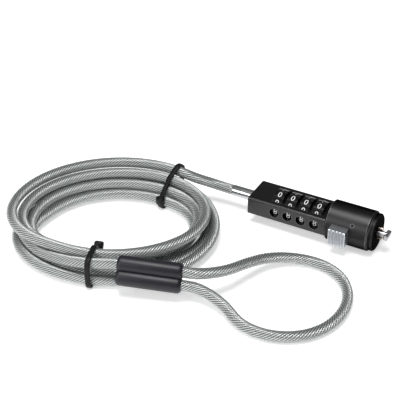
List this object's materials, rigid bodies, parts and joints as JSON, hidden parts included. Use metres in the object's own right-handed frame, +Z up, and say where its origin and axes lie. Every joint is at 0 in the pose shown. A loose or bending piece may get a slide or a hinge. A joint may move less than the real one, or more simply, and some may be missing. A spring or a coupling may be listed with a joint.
{
  "type": "laptop cable lock",
  "caption": "Combination lock with numbered dials, sprung thumb tab and turning T-bar, on a clear-jacketed steel rope in a tied coil with a crimped end loop.",
  "frame": {"origin": "on the ground plane under the middle of the lock's own box, rope pieces left out", "axes": "+X along the lock from the rope to the T-bar, +Z up, -Y towards the thumb tab"},
  "size_m": [0.1713, 0.1054, 0.0203],
  "materials": {
    "housing_black": "satin black enamel on zinc",
    "barrel_black": "semi-gloss black with a brushed look",
    "nose_black": "satin black",
    "dial_black": "gloss black with white numerals",
    "tab_silver": "satin silver-grey",
    "steel": "machined",
    "chrome": "bright",
    "brass": "machined",
    "steel_wire": "drawn wire",
    "rope_jacket": "clear glossy PVC",
    "sleeve_black": "gloss black moulding",
    "tie_black": "matt black nylon",
    "crimp_alloy": "as pressed"
  },
  "bodies": {
    "cable": {"cable_lead": "rope_jacket", "cable_coil": "rope_jacket", "cable_tail": "rope_jacket", "cable_loop": "rope_jacket", "loop_sleeve": "sleeve_black", "loop_crimp": "crimp_alloy", "tie_back": "tie_black", "tie_front": "tie_black", "swivel_ferrule": "chrome"},
    "lock_body": {"dial_housing": "housing_black", "bottom_cover": "housing_black", "cover_screws": "steel", "spindle_tube": "brass", "detent_spring": "steel_wire", "swivel_bush": "brass", "swivel_washer": "steel", "barrel_sleeve": "barrel_black", "barrel_ring": "steel", "nose_plate": "nose_black", "guard_pins": "steel", "return_spring": "steel_wire"},
    "slide": {"locking_rod": "steel", "slide_yoke": "brass", "cam_pin": "steel", "tab_screw": "steel", "thumb_tab": "tab_silver"},
    "locking_bar": {"t_bar": "steel"},
    "button": {"code_button": "steel"},
    "dial_1": {"dial_ring_1": "dial_black", "code_disc_1": "brass"},
    "dial_2": {"dial_ring_2": "dial_black", "code_disc_2": "brass"},
    "dial_3": {"dial_ring_3": "dial_black", "code_disc_3": "brass"},
    "dial_4": {"dial_ring_4": "dial_black", "code_disc_4": "brass"}
  },
  "joints": [
    {"name": "lock_swivel", "type": "hinge", "parent": "cable", "child": "lock_body", "pos_m": [-0.0349, 0.0022, 0.0099], "axis": [1, 0, 0], "continuous": true},
    {"name": "dial_1_turn", "type": "hinge", "parent": "lock_body", "child": "dial_1", "pos_m": [-0.0208, 0.0022, 0.0099], "axis": [1, 0, 0], "continuous": true},
    {"name": "dial_2_turn", "type": "hinge", "parent": "lock_body", "child": "dial_2", "pos_m": [-0.0139, 0.0022, 0.0099], "axis": [1, 0, 0], "continuous": true},
    {"name": "dial_3_turn", "type": "hinge", "parent": "lock_body", "child": "dial_3", "pos_m": [-0.007, 0.0022, 0.0099], "axis": [1, 0, 0], "continuous": true},
    {"name": "dial_4_turn", "type": "hinge", "parent": "lock_body", "child": "dial_4", "pos_m": [-0.0001, 0.0022, 0.0099], "axis": [1, 0, 0], "continuous": true},
    {"name": "thumb_slide", "type": "slide", "parent": "lock_body", "child": "slide", "axis": [1, 0, 0], "range_m": [0, 0.004], "stiffness_N_per_m": 300, "springref_m": -0.002, "deforming": ["return_spring"]},
    {"name": "t_bar_turn", "type": "hinge", "parent": "lock_body", "child": "locking_bar", "pos_m": [0.0292, 0.0022, 0.0099], "axis": [1, 0, 0], "range_deg": [-90, 0]},
    {"name": "code_button_press", "type": "slide", "parent": "lock_body", "child": "button", "axis": [0, 0.829, -0.5592], "range_m": [0, 0.0006], "stiffness_N_per_m": 500, "springref_m": -0.0004}
  ],
  "couplings": [
    {"joint": "t_bar_turn", "follows": "thumb_slide", "rad_per_m": -392.7}
  ]
}
